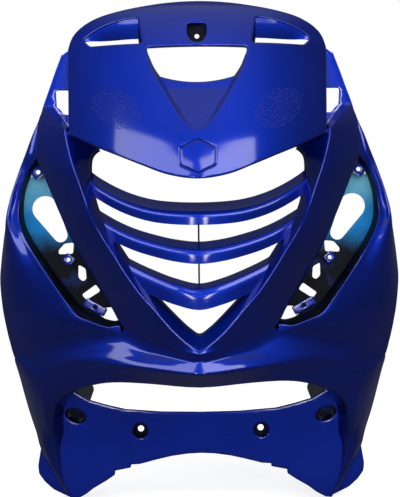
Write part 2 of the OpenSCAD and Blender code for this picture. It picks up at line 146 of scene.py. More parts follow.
def inner_paint(name, mist_and_backlight):
    """Thin overspray on the black plastic: dark, with a pale band high in the pockets that is partly overspray mist
    and partly painted light shining through from behind.
    """
    m, seed, place = material(name)
    z = axes(place)[2]
    drift = noise(place, 30.0, 4.0, 0.6)
    fine = noise(place, 900.0, 2.0)
    # The pale band high in the pockets is partly overspray and partly painted light from behind, set as bright as the
    # colour allows.
    high = (z + drift * 0.03).step(0.212, 0.244) * mist_and_backlight
    low = (noise(place, 46.0, 3.0, 0.55) + fine * 0.08).step(0.56, 0.72) * 0.55
    base = low.blend((0.0012, 0.0025, 0.008, 1.0), (0.004, 0.03, 0.20, 1.0))
    pale = (z + drift * 0.04).step(0.255, 0.305).blend((0.002, 0.26, 0.70, 1.0), (0.22, 0.72, 1.0, 1.0))
    base = high.blend(base, pale)
    bump = grained(place, 0.25, 0.0003, fine)
    shade(seed, base, fine * 0.15 + 0.5, 0.0, 0.0, bump, 0.15, 0.1 + 0.1 * mist_and_backlight)
    return m


# The pocket coat carries painted light from behind in its pale band; the inner coat has none.
MIST_AND_BACKLIGHT = inner_paint("pocket_overspray_and_backlight", 1.0)
DARK = inner_paint("thin_inner_coat", 0.0)


def plastic(name, colour, rough):
    """Bare moulded plastic with a fine grain."""
    m, seed, place = material(name)
    grain = noise(place, 700.0, 3.0, 0.6)
    patch = noise(place, 60.0, 3.0)
    base = (patch * 0.5 + grain * 0.5).blend(tuple(c * 0.7 for c in colour[:3]) + (1.0,), colour)
    bump = grained(place, 0.3, 0.0003, grain)
    shade(seed, base, grain * 0.2 + rough, 0.0, 0.0, bump)
    return m


BARE = plastic("bare_plastic", (0.075, 0.095, 0.10, 1.0), 0.4)


# Shared curve and mesh tools, first needed by the nose.
# All lengths are in millimetres until the mesh is made, and y counts from the front of the lower panel.
WALL = 2.6
PANEL_TO_FRAME = [0, -20, 0]
MM = 0.001


def spline(points, per):
    p = np.array(points, float)
    n = len(p)
    t = np.arange(per)[:, None] / per
    out = []
    for i in range(n - 1):
        a, b, c, d = p[max(0, i - 1)], p[i], p[i + 1], p[min(n - 1, i + 2)]
        square, cube = 2 * a - 5 * b + 4 * c - d, 3 * b - a - 3 * c + d
        out.append(0.5 * (2 * b + (c - a) * t + square * t ** 2 + cube * t ** 3))
    return np.vstack(out + [p[-1:]])


def mirror(p):
    return np.array(p, float) * ([-1, 1, 1] if len(p[0]) == 3 else [-1, 1])


def whole(half):
    """A curve that ends on the middle plane, carried on to the other side."""
    half = np.array(half, float)
    return np.vstack([half, mirror(half)[-2::-1]])


def resample(p, gap, closed=False):
    p = np.array(p, float)
    if closed:
        p = np.vstack([p, p[:1]])
    s = np.concatenate([[0], np.cumsum(np.linalg.norm(np.diff(p, axis=0), axis=1))])
    n = max(2, int(round(s[-1] / gap)))
    u = np.linspace(0, s[-1], n + 1)
    q = np.stack([np.interp(u, s, p[:, k]) for k in range(p.shape[1])], 1)
    return q[:-1] if closed else q


def soften(poly, r):
    """Rounds the corners of a closed outline."""
    p = np.array(poly, float)
    n = len(p)
    out = []
    for i in range(n):
        a, b, c = p[i - 1], p[i], p[(i + 1) % n]
        la, lc = np.linalg.norm(a - b), np.linalg.norm(c - b)
        d = min(r, 0.45 * la, 0.45 * lc)
        u, v = b + (a - b) / la * d, b + (c - b) / lc * d
        for t in np.linspace(0, 1, 5):
            out.append((1 - t) ** 2 * u + 2 * t * (1 - t) * b + t * t * v)
    return np.array(out)


def rounded(cols, radii, fine=5):
    """Rounds the corners of the cross-section that the columns describe at each station."""
    out = [cols[0]]
    for i in range(1, len(cols) - 1):
        a, b, c = cols[i - 1], cols[i], cols[i + 1]
        la = np.linalg.norm(a - b, axis=1)[:, None] + 1e-9
        lc = np.linalg.norm(c - b, axis=1)[:, None] + 1e-9
        d = np.minimum(radii[i - 1], 0.48 * np.minimum(la, lc))
        u, v = b + (a - b) / la * d, b + (c - b) / lc * d
        k = 9 if np.max(radii[i - 1]) >= 8 else fine
        for t in np.linspace(0, 1, k):
            out.append((1 - t) ** 2 * u + 2 * t * (1 - t) * b + t * t * v)
    out.append(cols[-1])
    return np.array(out)


def solid(name, verts, faces, facing, thick, mat, angle=38, bevel=0.0, second=None):
    """A mesh of the given faces, thickened away from the way they face."""
    me = bpy.data.meshes.new(name)
    at = (np.array(verts, float) + PANEL_TO_FRAME) * MM
    me.from_pydata(at.tolist(), [], [tuple(int(k) for k in f) for f in faces])
    if second is not None:
        me.polygons.foreach_set("material_index", [1 if k else 0 for k in second])
    if facing is not None:
        s = sum((p.normal * p.area for p in me.polygons), Vector())
        if s.dot(Vector(facing)) < 0:
            me.flip_normals()
    ob = bpy.data.objects.new(name, me)
    bpy.context.scene.collection.objects.link(ob)
    if thick:
        k = ob.modifiers.new("wall", "SOLIDIFY")
        k.thickness = thick * MM
        k.offset = -1
        k.use_even_offset = True
        k.thickness_clamp = 1.5
    if bevel:
        k = ob.modifiers.new("edge", "BEVEL")
        k.width = bevel * MM
        k.segments = 2
        k.limit_method = "ANGLE"
        k.angle_limit = math.radians(40)
    dg = bpy.context.evaluated_depsgraph_get()
    out = bpy.data.meshes.new_from_object(ob.evaluated_get(dg))
    ob.modifiers.clear()
    ob.data = out
    bpy.data.meshes.remove(me)
    out.name = name
    out.polygons.foreach_set("use_smooth", [True] * len(out.polygons))
    out.set_sharp_from_angle(angle=math.radians(angle))
    index = np.zeros(len(out.polygons), dtype=np.int32)
    out.polygons.foreach_get("material_index", index)
    out.materials.clear()
    for k in (mat if isinstance(mat, tuple) else (mat,)):
        out.materials.append(k)
    out.polygons.foreach_set("material_index", index if isinstance(mat, tuple) else index * 0)
    return ob


def join(name, parts):
    """Joins the parts into one piece of the cover."""
    with bpy.context.temp_override(active_object=parts[0], selected_editable_objects=parts):
        bpy.ops.object.join()
    ob = parts[0]
    ob.name = name
    ob.data.name = name
    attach(ob, "root")
    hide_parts("front_shield")
    return ob


def grid_faces(n, m):
    corners = [i * m + j for i in range(n - 1) for j in range(m - 1)]
    return [(k, k + m, k + m + 1, k + 1) for k in corners]


def skin(name, cols, facing=(0, -1, 0), thick=WALL, mat=None, angle=38, dark=()):
    """A sheet through the columns. The columns named in dark carry only the thin inner coat."""
    g = np.array(cols)
    n, m = g.shape[:2]
    second = [i in dark for i in range(n - 1) for j in range(m - 1)]
    mat = mat or (BLUE, DARK)
    return solid(name, g.reshape(-1, 3), grid_faces(n, m), facing, thick, mat, angle, second=second)


def inside(p, loop):
    x, z = p[:, 0][:, None], p[:, 1][:, None]
    a, b = loop, np.roll(loop, -1, 0)
    cut = (a[:, 1] > z) != (b[:, 1] > z)
    with np.errstate(divide="ignore", invalid="ignore"):
        at = a[:, 0] + (z - a[:, 1]) * (b[:, 0] - a[:, 0]) / (b[:, 1] - a[:, 1])
    return (np.sum(cut & (x < at), axis=1) % 2) == 1


def distance(p, loops):
    best = np.full(len(p), 1e9)
    a = np.vstack(loops)
    b = np.vstack([np.roll(l, -1, 0) for l in loops])
    d = b - a
    dd = np.sum(d * d, 1)
    for s in range(0, len(p), 3000):
        q = p[s:s + 3000]
        w = q[:, None, :] - a[None]
        t = np.clip(np.sum(w * d, 2) / dd, 0, 1)
        best[s:s + 3000] = np.sqrt(np.min(np.sum((w - t[..., None] * d) ** 2, 2), 1))
    return best


def panel(name, loops, height, roll, depth, gap=2.2, extra=None, facing=(0, -1, 0), thick=WALL, mat=None,
          angle=38, blue=1):
    """A front face over the first outline with the other outlines cut out of it, its edges rolled to the rear.
    The walls of the first outlines, as many as blue says, are painted, and the others have the thin inner coat."""
    loops = [resample(l, 1.5, True) for l in loops]
    rings = [roll * k for k in (0.07, 0.28, 0.6, 1.0)]
    seeds = []
    for i, l in enumerate(loops):
        t = np.roll(l, -1, 0) - np.roll(l, 1, 0)
        t /= np.linalg.norm(t, axis=1)[:, None]
        n = np.stack([-t[:, 1], t[:, 0]], 1) * turning(l) * (1 if i == 0 else -1)
        for r in rings:
            q = l + n * r
            seeds.append(q[distance(q, loops) > r * 0.9])
    lo, hi = loops[0].min(0), loops[0].max(0)
    zs = np.arange(lo[1], hi[1], gap * 0.866)
    xs = np.arange(0, hi[0] - lo[0], gap)
    stagger = (0, 0.5 * gap)
    g = np.array([(lo[0] + x + stagger[k % 2], z) for k, z in enumerate(zs) for x in xs])
    g = g[inside(g, loops[0])]
    g = g[distance(g, loops) > roll + 0.45 * gap]
    if extra is not None:
        g = g[distance(g, [extra]) > gap * 0.6]
    pts = np.vstack(loops + seeds + [g])
    inner = inside(pts, loops[0])
    for l in loops[1:]:
        inner &= ~inside(pts, l)
    inner[:sum(len(l) for l in loops)] = True
    pts = pts[inner]
    if extra is not None:
        groove = [resample(extra + off * outward(extra), 0.9, True) for off in (0, 0.45, -0.45, 1.0, -1.0)]
        pts = np.vstack([pts, *groove])
    edges = []
    k = 0
    for l in loops:
        edges += [(k + i, k + (i + 1) % len(l)) for i in range(len(l))]
        k += len(l)
    v, _, f, _, _, _ = delaunay_2d_cdt([Vector((p[0], p[1])) for p in pts], edges, [], 0, 1e-4)
    v = np.array([(p.x, p.y) for p in v])
    f = np.array([t for t in f if len(t) == 3])
    c = v[f].mean(1)
    keep = inside(c, loops[0])
    for l in loops[1:]:
        keep &= ~inside(c, l)
    f = f[keep]
    d = distance(v, loops)
    rolled = roll - np.sqrt(np.maximum(0, roll ** 2 - (roll - d) ** 2))
    y = height(v[:, 0], v[:, 1]) + np.where(d < roll, rolled, 0)
    verts = [(p[0], yy, p[1]) for p, yy in zip(v, y)]
    use = {}
    for t in f:
        for a, b in ((t[0], t[1]), (t[1], t[2]), (t[2], t[0])):
            use[(a, b)] = use.get((a, b), 0) + 1
    rim = [(a, b) for (a, b) in use if (b, a) not in use]
    back = {}
    faces = [tuple(t) for t in f]
    for a, b in rim:
        for k in (a, b):
            if k not in back:
                x, z = v[k]
                bx, by, bz = depth(x, y[k], z)
                back[k] = len(verts)
                verts.append((bx, by, bz))
        faces.append((b, a, back[a], back[b]))
    ends = np.array([v[list(r)].mean(0) for r in rim])
    second = [False] * len(f) + list(distance(ends, loops[:blue]) > 0.5)
    return solid(name, verts, faces, facing, thick, mat or (BLUE, DARK), angle, second=second)


def turning(loop):
    """1 where the outline runs one way round, and -1 where it runs the other."""
    return np.sign(np.sum(loop[:, 0] * np.roll(loop[:, 1], -1) - np.roll(loop[:, 0], -1) * loop[:, 1]))


def outward(loop):
    t = np.roll(loop, -1, 0) - np.roll(loop, 1, 0)
    t /= np.linalg.norm(t, axis=1)[:, None]
    return np.stack([t[:, 1], -t[:, 0]], 1) * turning(loop)


# Nose panel.
# The beaked upper face of the moulding, with the emblem opening and its pressed tongue, two air scoops,
# a screw cup, a plain hexagonal seat line and two patches of raised dots. Its edges roll back into a flange.
NOSE_X = np.array([0, 30, 58, 82, 102, 116, 127, 133.5, 137]) * 139 / 137
NOSE_TOP = [466.6, 465.2, 461.4, 457.4, 452.8, 447.0, 439.0, 430.0, 418]
NOSE_LOW = [270.6, 275, 285.8, 296, 304.6, 311.5, 317, 320.2, 321.7]
PROFILE = spline([
    [262, -172], [271, -171], [285, -167], [300, -161.5], [318, -154], [345, -141], [372, -127.5], [400, -113],
    [414, -105.5], [428, -97], [440, -88.5], [449, -81], [455, -75], [460, -68.5], [467, -56]], 40)


def nose(x, z):
    """How far back the nose lies: its middle profile, curved to the rear at the sides."""
    z = np.asarray(z, float)
    return np.interp(z, PROFILE[:, 0], PROFILE[:, 1]) + 64 * (np.abs(x) / 134) ** 2 * (0.8 + 0.2 * (460 - z) / 190)


def press(z):
    """How far the tongue is pressed in below the nose."""
    return 14 * np.clip((np.asarray(z, float) - 319.4) / 46, 0, 1)


top = spline(whole(np.stack([NOSE_X, NOSE_TOP], 1)[::-1]), 8)
low = spline(whole(np.stack([NOSE_X * 0.964, NOSE_LOW], 1)[::-1]), 8)
nose_edge = np.vstack([top, low[::-1]])
INSET = spline(whole([
    [52.2, 410.3], [47.7, 392.3], [42.5, 380.4], [34.1, 363.9], [23.9, 345.9], [12, 328.6], [0, 319.4]]), 6)
inset_loop = soften(np.vstack([INSET, [[0, 406.4]]])[::3], 3.0)
inset_ring = resample(inset_loop, 1.5, True)
inset_out = outward(inset_ring)
SCOOP_TOP = [[62.2, 446], [76, 445.2], [90, 442.4], [103, 437.8], [114, 431.8], [121, 426.2]]
SCOOP_LOW = [[57.6, 423.6], [73, 423.4], [88, 423.4], [101, 423.6], [111, 424], [118, 424.4]]
scoop_loop = soften(np.vstack([spline(SCOOP_TOP, 2), [[119, 423.6], [113.4, 417.6], [57.4, 415.4]]]), 2.5)
CUP = np.array([[-9.5, 436], [9.5, 436], [9.8, 424], [6, 416], [0, 414.2], [-6, 416], [-9.8, 424]])
cup_loop = soften(CUP, 2.6)
corners = [math.radians(60 * i) for i in range(6)]
hexagon = np.array([[20 * math.sin(t), 293 + 17.2 * math.cos(t)] for t in corners])
hexagon = resample(soften(hexagon, 1.6), 1.2, True)


def nose_face(x, z):
    d = distance(np.stack([x, z], 1), [hexagon])
    return nose(x, z) + 0.85 * np.exp(-(d / 0.62) ** 2)


def nose_back(x, y, z):
    ax = abs(x)
    if 312 < z and distance(np.array([[x, z]]), [resample(nose_edge, 3, True)])[0] < 0.5:
        if ax > 132.5 and z < 421:
            return (math.copysign(ax - 1.2, x), -6.0, z)
        k = min(1, max(0, (ax - 122) / 15))
        return (x, y + 18 * (1 - k) + (-6 - y) * k, z) if z > 400 else (x, y + 3.2, z)
    if distance(np.array([[x, z]]), [resample(inset_loop, 3, True)])[0] < 0.5:
        if z > 403.5 and ax < 51:
            return (x, nose(x, z) + 9, z)
        top_part = min(1, max(0, (408 - z) / 34))
        lean = -4.2 * min(1, max(0.25, (z - 316) / 25)) * top_part
        near = np.argmin(np.hypot(inset_ring[:, 0] - x, inset_ring[:, 1] - z))
        away = inset_out[near] * lean
        return (x + away[0], float(nose(x, z) + press(z)) - 5 + 8.4 * min(1, top_part * 2), z + away[1])
    if distance(np.array([[ax, z]]), [resample(scoop_loop, 3, True)])[0] < 0.5:
        v = min(1, max(0, (446 - z) / 22.3))
        if ax < 64.5:
            return (x + math.copysign(3.2 * v, x), float(nose(x, z)) + 4 + 15 * v, z)
        return (x, float(nose(x, z)) + (7 if z < 422 else 2.6), z)
    if ax < 12 and z > 410:
        return (x, float(nose(0, 425)) + 15.5, z)
    return (x, y + 3.2, z)


parts = [panel(
    "nose_face", [nose_edge, inset_loop, scoop_loop, mirror(scoop_loop)[::-1], cup_loop],
    nose_face, 1.6, nose_back, gap=2.0, extra=hexagon, blue=2)]

side = INSET[(INSET[:, 1] < 381) & (INSET[:, 0] > 0)] + [0.9, 0]
arc = np.array([[x, 372.4 + 9.5 * (x / 44) ** 2] for x in np.linspace(-43, 43, 25)])
tongue = np.vstack([arc, side, (mirror(side)[::-1])])
parts.append(panel(
    "tongue", [tongue], lambda x, z: nose(x, z) + press(z) + 0.5, 1.2,
    lambda x, y, z: (x, y + (5 if z > 371.5 + 9.5 * (x / 44) ** 2 else 2), z), gap=2.2, thick=2.2))

deep = [1, 1, 0.95, 0.75, 0.4, 0.05]
ramp = []
for i, (a, b) in enumerate(zip(SCOOP_TOP, SCOOP_LOW)):
    sx = -1.6 if i == 0 else 2 if i == 5 else 0.9
    sz = 0 if i == 0 else -0.5 if i == 5 else 0.7
    row = []
    for v in (-0.12, 0.02, 0.1, 0.3, 0.5, 0.8, 1):
        x = a[0] + sx + (b[0] - a[0]) * v
        z = a[1] + sz + (b[1] - a[1]) * v
        row.append((x, float(nose(x, z)) + 1.6 + 15 * max(0, v) ** 1.1 * deep[i], z))
    ramp.append(row)
ramp = np.array(ramp)
ramp = np.array([spline(ramp[:, j], 6) for j in range(ramp.shape[1])])
ramp = np.array([spline(ramp[:, j], 3) for j in range(ramp.shape[1])])
for s in (1, -1):
    parts.append(skin("scoop_ramp", ramp * [s, 1, 1], thick=2.2))

cup_y = float(nose(0, 425)) + 15
round_about = np.linspace(0, 2 * math.pi, 24, endpoint=False)
hole = np.array([[2.6 * math.cos(t), 424 + 2.6 * math.sin(t)] for t in round_about])
# The cup's floor takes the dark inner coat as painted shade in the recess.
parts.append(panel(
    "cup_floor", [cup_loop * [1.06, 1], hole], lambda x, z: cup_y + 0 * x, 0.5,
    lambda x, y, z: (x, y + 1.5, z), gap=1.5, thick=1.0, mat=DARK))


def dots(s):
    """A leaf-shaped patch of fine raised dots."""
    verts, faces = [], []
    for row in range(15):
        for col in range(18):
            u = (col + 0.5 * (row % 2)) / 17 * 2 - 1
            v = row / 14 * 2 - 1
            if abs(u) > 0.97 or abs(v) > (1 - u * u) ** 0.6 + 0.02:
                continue
            x, z = 83 + 27 * u, 345 + 20 * v + 9 * u
            k = len(verts)
            for r, h in ((1.0, -0.1), (0.76, 0.28), (0.38, 0.45)):
                for t in np.linspace(0, 2 * math.pi, 8, endpoint=False):
                    px, pz = x + r * math.cos(t), z + r * math.sin(t)
                    verts.append((s * px, float(nose(px, pz)) - h, pz))
            verts.append((s * x, float(nose(x, z)) - 0.5, z))
            for i in range(8):
                j = (i + 1) % 8
                for b in (k, k + 8):
                    faces.append((b + i, b + j, b + 8 + j, b + 8 + i)[::s])
                faces.append((k + 16 + i, k + 16 + j, k + 24)[::s])
    return solid("dots", verts, faces, (0, -1, 0), 0, BLUE, 60)


parts += [dots(1), dots(-1)]
nose_panel = join("nose_panel", parts)


# Arms.
# Two converging limbs that frame the grille and meet at the chin. Each has a rounded crease along its
# brow and a deep return into the grille opening, and a flange into the side pocket.
SHOULDER_A = [
    [138.9, -86, 327.6], [137.0, -90, 318], [132.0, -97, 299.8], [126.0, -104, 281.7], [118.7, -110, 261.9],
    [108.8, -118, 235.0], [98.2, -123, 215.7], [84.7, -128, 194.4], [71.9, -132, 174.4], [59.1, -136, 156.9],
    [46.0, -139, 142.6], [28.9, -142, 122.8], [13.9, -144, 109.0], [0, -145, 101.1]]
OUTER_E = [
    [168.3, -20, 359.7], [172.7, -36, 342.6], [173.3, -48, 322.0], [172.1, -54, 300.4], [161.8, -62, 275.9],
    [146.5, -74, 241.4], [134.1, -82, 215.0], [122.5, -87, 193.5], [111.3, -91, 175.4], [100.5, -95, 157.9],
    [89.9, -99, 140.9], [77.1, -104, 121.3], [43.7, -122, 101.9], [0, -143, 94.1]]
GRILLE_B = [
    [104.4, -74, 308.0], [108.0, -74, 305.8], [112.3, -74, 300.4], [113.5, -77, 290.8], [111.7, -86, 274.5],
    [105.1, -97, 247.0], [94.6, -104, 227.2], [80.9, -110, 205.6], [67.3, -115, 185.2], [52.8, -119, 166.9],
    [37.5, -123, 148.8], [19.2, -126, 129.8], [9.1, -127, 120.7], [0, -128, 115.3]]
a = np.array(SHOULDER_A)
e = np.array(OUTER_E)
b = np.array(GRILLE_B)
deepen = np.array([1] * 11 + [0.75, 0.2, 0.05])[:, None]
back = e + ([0, 1, 0] * deepen) * (19 - e[:, 1:2])
cols = [b + [0, 26, 0], b, a, a * 0.5 + e * 0.5 + [0, -3, 0], e, back]
arm_cols = [spline(whole(c), 8) for c in cols]
grid = rounded(arm_cols, [1.6, 2.2, 60, 2.0])
inner = (0, *range(len(grid) - 4, len(grid)))
parts = [skin("arm", grid[:, part], dark=inner) for part in (slice(0, 89), slice(120, 209))]
arms = join("arms", parts)


# Shoulders.
# The pale upper faces that run from the arms up to the nose flange, and the roofs under the nose.
lo = np.array([
    [167.6, -19.2, 359.2], [162.6, -39.2, 350.4], [155.6, -56.2, 340.4], [147.6, -72, 332.8], [138.1, -85, 326.8]])
hi = np.array([[169.0, -10, 362.6], [164, -13, 362], [158, -22, 358], [148, -42, 347], [137, -62, 333]])
rearward = hi * [1, 0, 1] + [0, -5, 0]
a0 = np.array([[136.2, -83.2, 324.9], [127, -80, 320], [116, -76, 313.5], [105.6, -73, 307.9]]) + [-0.6, 2.2, -1]
under_nose = ((130.4, 321), (120, 315), (108, 308.6), (97.7, 303.6))
n0 = np.array([[x, float(nose(x, z)), z] for x, z in under_nose]) + [-0.5, 1.5, 1.2]
parts = []
for s in (1, -1):
    cols = [spline(c, 8) * [s, 1, 1] for c in (lo, hi, rearward)]
    parts.append(skin("shoulder", rounded(cols, [2.5]), facing=(0, -0.6, 1)))
    cols = [spline(c, 6) * [s, 1, 1] for c in (n0, a0)]
    parts.append(skin("roof", cols, facing=(0, -1, -0.5)))
wing = [
    [133, 424], [141, 424], [148.9, 418.5], [156.1, 399], [162.4, 381], [168.7, 363.6], [174.2, 346.2], [181.2, 329.5],
    [178, 320], [168, 322], [136, 322], [133, 340]]
notch = [[157, 379], [156, 360], [152.6, 358.5], [148, 352], [139.5, 352], [139.5, 379]]
for s in (1, -1):
    loops = [soften(np.array(l) * [s, 1], r) for l, r in ((wing, 2), (notch, 2.5))]
    parts.append(panel(
        "wing", loops, lambda x, z: -8.2 + 0 * x, 0.6, lambda x, y, z: (x, y + 1.6, z), gap=4, thick=1.0))
shoulders = join("shoulders", parts)


# Side panels.
# The broad flanks that bulge from the pocket lip out to the rear rim, and run on below the arms to the chin.
CHIN = [
    [204.5, -13, 83.0], [188, -32, 77.5], [173.5, -46, 76.4], [154.0, -66, 80.7], [135.3, -80, 86.1], [114, -95, 88.4],
    [93.5, -108, 85.3], [70, -123, 83], [46.4, -135, 81.0], [22, -144, 78.8], [0, -147, 77.5]]
LIP_IN = [
    [173.3, -12, 344.4], [174.9, -20, 320.1], [175.4, -28, 304.1], [185.2, -21.5, 291.5], [192.5, -22, 273.9],
    [195.6, -24, 256.3], [195.1, -32, 236.2], [187.0, -46, 216.5], [171.4, -62, 191.8], [156.5, -70, 170.7],
    [141.0, -77, 149.9], [128.2, -83, 134.8], [114.5, -90, 128.6], [96.1, -98, 122.9], [82.0, -101, 124.0],
    [64.0, -107.5, 117], [43.0, -118, 108], [21.0, -130, 102.5], [0, -140, 99]]
LIP_OUT = [
    [174.2, -10, 346.1], [179.9, -15, 323.8], [182.6, -20, 306.9], [190.0, -15.5, 291.9], [197.2, -16, 274.2],
    [201.0, -18, 256.5], [204.2, -26, 237.0], [194.1, -42, 217.7], [178.3, -58, 191.8], [165.5, -66, 171.8],
    [148.6, -74, 150.8], [133.0, -82, 133.4], [116.7, -89, 123.9], [97.7, -97, 118.7], [80.4, -103, 116.0],
    [62.0, -111, 109.0], [44.0, -121, 100.5], [21.0, -133.5, 95.5], [0, -142, 92]]
RIM = [
    [150.8, -6, 419.1], [158.0, -8, 399.4], [164.3, -9, 381.2], [170.7, -10, 363.1], [176.2, -10, 345.4],
    [184.0, -10, 327.7], [190.6, -10, 310.0], [197.3, -10, 292.2], [202.5, -12, 274.4], [207.7, -14, 256.6],
    [211.2, -16, 236.6], [214.2, -18, 216.8], [217.2, -20, 190.4], [218.8, -20, 168.4], [216.7, -20, 142.0],
    [213.7, -18, 122.0], [209.6, -16, 102.1], [204.5, -13, 83.0], [198.0, -5, 52.3], [191.8, 2, 24.5],
    [184.8, 8, -1.0], [180.0, 10, -20.3], [169.0, 12, -43.1], [156.7, 12, -63.5], [149.9, 12, -72.5]]
p = np.array(LIP_IN)
q = np.array(LIP_OUT)
s = np.array(RIM[4:18] + CHIN[2::2])
u = np.sin(np.pi * np.linspace(0, 1, len(s)))[:, None] * np.array([2.0, -9.0, 1.0])
m1 = q + (s - q) * 0.35 + u * 0.8
m2 = q + (s - q) * 0.72 + u * 0.9
tuck = s + np.array([[-1.2, 3.0, 0]] * 14 + [[0, 3.0, -1.0]] * 5)
pocket_wall = np.array([
    [v[0] + 1.5 * (i > 0), 20 if 0 < i < 15 else v[1] + 4, v[2] - 1] for i, v in enumerate(p)])
cols = [pocket_wall, p, q, m1, m2, s, tuck]
cols = [spline(whole(c), 8) for c in cols]
rim_curve = spline(RIM, 8)
cols[5][:105] = rim_curve[32:137]
cols[5][184:] = mirror(rim_curve[32:137])[::-1]
grid = rounded(cols, [1.6, 2.2, 60, 60, 1.8])
parts = [skin("flank", grid[:, part], dark=(0, 1)) for part in (slice(0, 113), slice(176, 289))]
flank_cols = cols
flanks = join("side_panels", parts)


# Rear rim.
# The flange that runs round the outside of the cover and leans inwards towards the rear.
s = np.array(RIM)
n = len(s) - 1
k = np.arange(n + 1) / n
u = np.minimum(1, k * 2.6)
b = np.stack([s[:, 0] - 6 * u, 6 + 42 * u * u * (3 - 2 * u) - 16 * k ** 3, s[:, 2]], 1)
f = s + [-0.5, 0.9, 0]
parts = []
for d in (1, -1):
    cols = [spline(c, 8) * [d, 1, 1] for c in (f, f * 0.5 + b * 0.5, b)]
    parts.append(skin("rim", rounded(cols, [20]), facing=(d, 0, 0)))
rim = join("rear_rim", parts)


# Legs.
# The moulding's under-lip that turns into the two legs, down to the foot flanges.
LIP = [
    [0, -118, 61.1], [50.3, -108, 64.1], [90, -97, 64.8], [117, -82, 59.5], [136, -67, 51.5], [149, -56.5, 42],
    [156, -47, 32], [158.6, -30, 16], [158.1, -8, -3], [157, -1, -22], [154, 1, -45], [147.5, 3, -66], [143, 4, -74]]
i = np.array(LIP)
o = np.array(CHIN[::-2] + RIM[18:])
n = len(i) - 1
k = np.arange(n + 1) / n
u = np.sin(np.pi * np.maximum(0, (k - 0.25) / 0.75) ** 0.9)[:, None] * np.array([1.0, -13.0, 0])
m1 = o + (i - o) * 0.35 + u * 0.9
m2 = o + (i - o) * 0.75 + u * 0.9
up = o + np.array([[0, 3.0, 1.5]] * 6 + [[-1.5, 3.5, 0]] * (n - 5))
back = i + [0, 6, 0]
for j in range(3, 9):
    back[j] = [i[j][0] - 6, 2.6, i[j][2] - 1.5]
back[2] = i[2] + [-1, 20, 0]
cols = [up, o, m1, m2, i, back]
cols = [spline(np.vstack([mirror(c)[:0:-1], c])[::-1], 8) for c in cols]
cols[1][:57] = rim_curve[:135:-1]
cols[1][136:] = mirror(rim_curve[136:])
grid = rounded(cols, [1.6, 60, 60, 7.0], 8)
parts = [skin("leg", grid[:, part]) for part in (slice(0, 65), slice(128, 193))]
legs = join("legs", parts)


# Chin.
# Where the arms, side panels and under-lip flow into each other as one surface, with a soft fold along it.
merge = np.minimum(1, 1.5 * np.sin(np.linspace(0, np.pi, 33)))[:, None]
leg_cols = cols
cols = [c[88:121] for c in arm_cols[:5]] + [c[112:177:2] for c in flank_cols[2:6]]
cols += [c[64:129:2] for c in leg_cols[2:]]
cols[4] = cols[4] + (cols[3] - cols[4]) * 0.5 * merge
cols[5] = cols[5] + (cols[6] - cols[5]) * 0.5 * merge
radii = [1.6, 2.2, 60, 2 + 30 * merge, 2.2 + 30 * merge, 60, 60, 1.8 + 7 * merge, 60, 60, 7.0]
cols = rounded(cols, radii, 8)
chin = join("chin", [skin("chin", cols, dark=(0,))])


# Lower panel.
# The flat apron between the legs, with two counterbored bolt bosses, the slanted tubes and the foot flanges.
HALF = [
    [0, 20.4], [44, 21.2], [84, 24.3], [105, 29.3], [123, 34.6], [135, 41.5], [141, 46], [150, 42], [157, 32],
    [163, 10], [163.5, -10], [161.2, -28], [156.7, -49], [150.6, -66], [145.3, -76], [138.5, -75.4], [128.4, -70],
    [119.5, -63.3], [106, -55.5], [96, -48.8], [96, -44.4], [78.2, -41], [78.2, -37.7], [68, -37.1], [50, -32.5],
    [33.5, -28.7], [16, -26.2], [0, -25.4]]
h = np.array(HALF)
apron = np.vstack([h, mirror(h)[-2:0:-1]])


def ring(x, z, r, n=40):
    t = np.linspace(0, 2 * math.pi, n, endpoint=False)
    return np.stack([x + r * np.cos(t), z + r * np.sin(t)], 1)


def tube_frame(s):
    """Where a slanted tube starts, which way it runs, and two directions across it."""
    d = np.array([-0.0969 * s, 0.9221, 0.3746])
    ux = np.cross(d, [0, 0, 1])
    ux /= np.linalg.norm(ux)
    return np.array([139.0 * s, 0, 18.0]), d, ux, np.cross(d, ux)


def hollow(s):
    """The oblique hollow beside each tube."""
    t = np.linspace(0, 2 * math.pi, 40, endpoint=False)
    u, v = 11.5 * np.cos(t), 7.2 * np.sin(t)
    c, w = math.cos(math.radians(22)), math.sin(math.radians(22))
    return np.stack([s * (139.5 + u * c - v * w), 17.5 + u * w + v * c], 1)


def apron_back(x, y, z):
    if min(abs(math.hypot(x - 67.5, z) - 8), abs(math.hypot(x + 67.5, z) - 8)) < 0.4:
        return (x, 17.0, z)
    if 122 < abs(x) < 156 and 5 < z < 30:
        return (x - math.copysign(1.5, x), y + 9.0, z + 2.0)
    return (x, y + 2.0, z)


